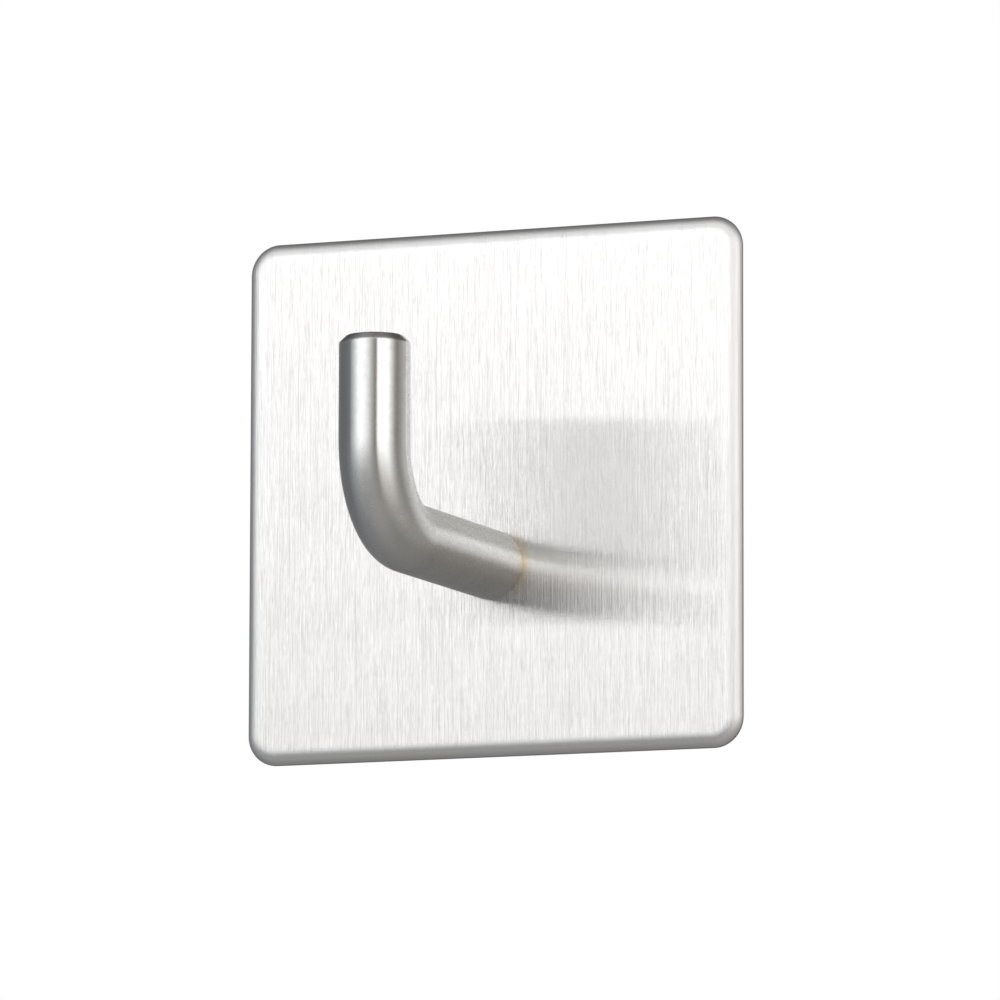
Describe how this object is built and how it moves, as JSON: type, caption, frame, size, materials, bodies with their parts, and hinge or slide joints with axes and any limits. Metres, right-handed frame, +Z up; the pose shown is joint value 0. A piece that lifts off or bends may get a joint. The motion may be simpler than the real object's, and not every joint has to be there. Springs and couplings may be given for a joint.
{
  "type": "adhesive wall hook",
  "caption": "Square brushed-steel wall hook: a round bar bent up in front of a flat plate that sticks to a wall by an adhesive foam pad under a peel-off liner.",
  "frame": {"origin": "middle of the release liner's back, the plane that lies against the wall or a bench", "axes": "+X to the right as seen from the room, +Y into the wall, +Z up the wall"},
  "size_m": [0.06, 0.04, 0.06],
  "materials": {
    "brushed_plate": "brushed up and down",
    "satin_bar": "satin",
    "weld_metal": "ground flush, heat tinted",
    "adhesive": "tacky, milky",
    "foam": "fine closed cells",
    "liner_film": "glossy film"
  },
  "bodies": {
    "hook": {"back_plate": "brushed_plate", "hook_bar": "satin_bar", "plug_weld": "weld_metal", "plate_adhesive": "adhesive", "foam_core": "foam", "wall_adhesive": "adhesive"},
    "liner": {"release_liner": "liner_film"}
  },
  "joints": [
    {"name": "liner_peel", "type": "slide", "parent": "hook", "child": "liner", "axis": [0, 1, 0], "range_m": [0, 0.03]}
  ]
}
